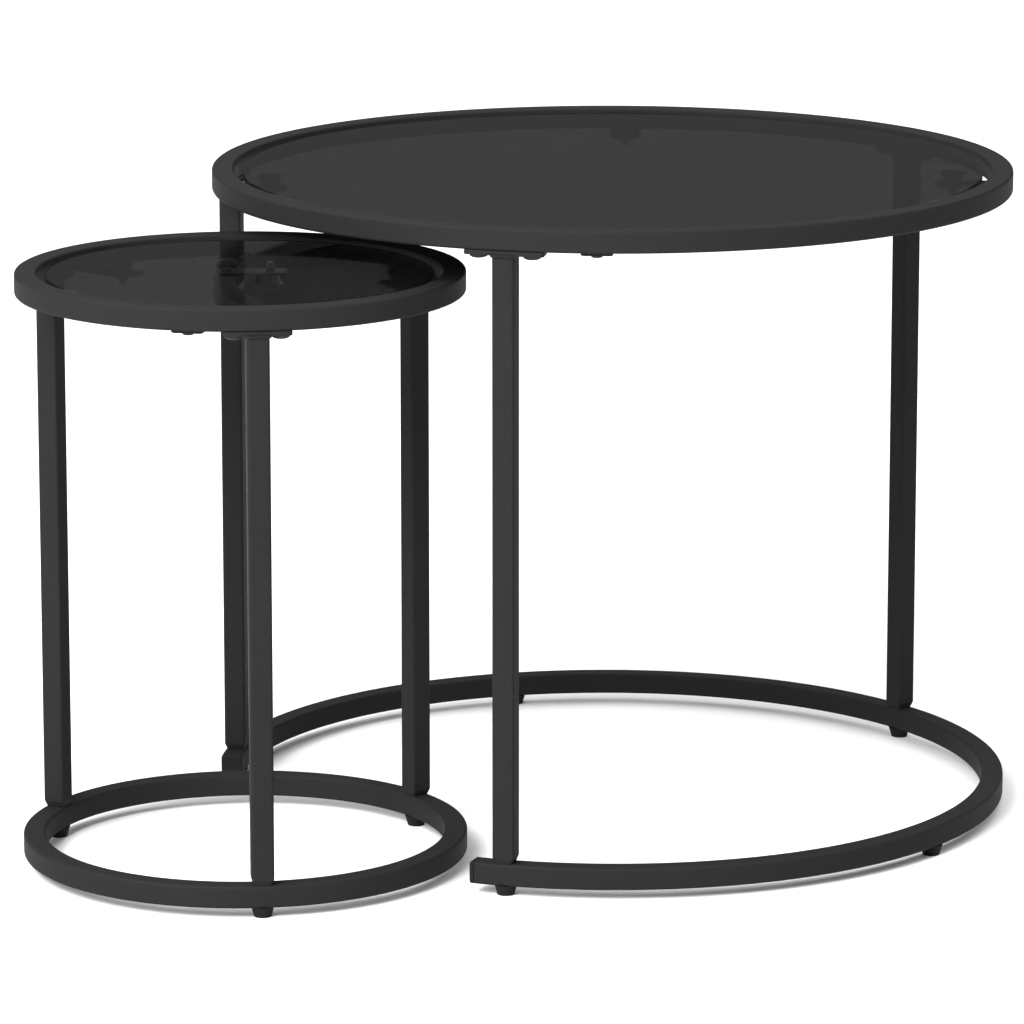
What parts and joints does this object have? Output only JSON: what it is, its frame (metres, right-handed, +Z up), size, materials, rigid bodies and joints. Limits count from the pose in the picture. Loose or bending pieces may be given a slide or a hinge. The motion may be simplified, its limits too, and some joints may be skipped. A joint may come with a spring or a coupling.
{
  "type": "nesting tables",
  "caption": "Pair of round nesting side tables of square steel tube with inset smoked glass tops; the smaller slides in under the larger through the open front of its base ring.",
  "frame": {"origin": "on the floor under the middle of the pair's bounding box, as the pair stands with the small table half pulled out", "axes": "+Z up; -Y is the way the small table is pulled out, through the open front of the large base ring; +X to the right seen from the front"},
  "size_m": [0.55, 0.7248, 0.447],
  "materials": {
    "frame_coat": "matte black powder coat",
    "smoked_glass": "polished smoked glass",
    "glide_plastic": "moulded black plastic",
    "bolt_black": "black zinc plated steel",
    "pad_rubber": "soft translucent grey"
  },
  "bodies": {
    "large_table": {"large_glass_top": "smoked_glass", "large_top_ring": "frame_coat", "large_base_ring": "frame_coat", "large_leg_back": "frame_coat", "large_leg_left": "frame_coat", "large_leg_right": "frame_coat", "large_leg_bolt_back_1": "bolt_black", "large_leg_bolt_back_2": "bolt_black", "large_leg_bolt_left_1": "bolt_black", "large_leg_bolt_left_2": "bolt_black", "large_leg_bolt_right_1": "bolt_black", "large_leg_bolt_right_2": "bolt_black", "large_end_cap_left": "glide_plastic", "large_end_cap_right": "glide_plastic", "large_foot_back": "glide_plastic", "large_foot_left": "glide_plastic", "large_foot_right": "glide_plastic", "large_foot_side_left": "glide_plastic", "large_foot_side_right": "glide_plastic", "large_tab_screw_1": "bolt_black", "large_tab_screw_2": "bolt_black", "large_tab_screw_3": "bolt_black", "large_tab_screw_4": "bolt_black", "large_tab_1": "frame_coat", "large_tab_2": "frame_coat", "large_tab_3": "frame_coat", "large_tab_4": "frame_coat", "large_glass_pad_1": "pad_rubber", "large_glass_pad_2": "pad_rubber", "large_glass_pad_3": "pad_rubber", "large_glass_pad_4": "pad_rubber"},
    "small_table": {"small_glass_top": "smoked_glass", "small_top_ring": "frame_coat", "small_base_ring": "frame_coat", "small_leg_back": "frame_coat", "small_leg_left": "frame_coat", "small_leg_right": "frame_coat", "small_leg_bolt_back_1": "bolt_black", "small_leg_bolt_back_2": "bolt_black", "small_leg_bolt_left_1": "bolt_black", "small_leg_bolt_left_2": "bolt_black", "small_leg_bolt_right_1": "bolt_black", "small_leg_bolt_right_2": "bolt_black", "small_foot_back": "glide_plastic", "small_foot_left": "glide_plastic", "small_foot_right": "glide_plastic", "small_tab_screw_1": "bolt_black", "small_tab_screw_2": "bolt_black", "small_tab_screw_3": "bolt_black", "small_tab_1": "frame_coat", "small_tab_2": "frame_coat", "small_tab_3": "frame_coat", "small_glass_pad_1": "pad_rubber", "small_glass_pad_2": "pad_rubber", "small_glass_pad_3": "pad_rubber"}
  },
  "joints": [
    {"name": "nest_slide", "type": "slide", "parent": "large_table", "child": "small_table", "axis": [0.0584, -0.9983, 0], "range_m": [-0.408, 0.15]}
  ]
}
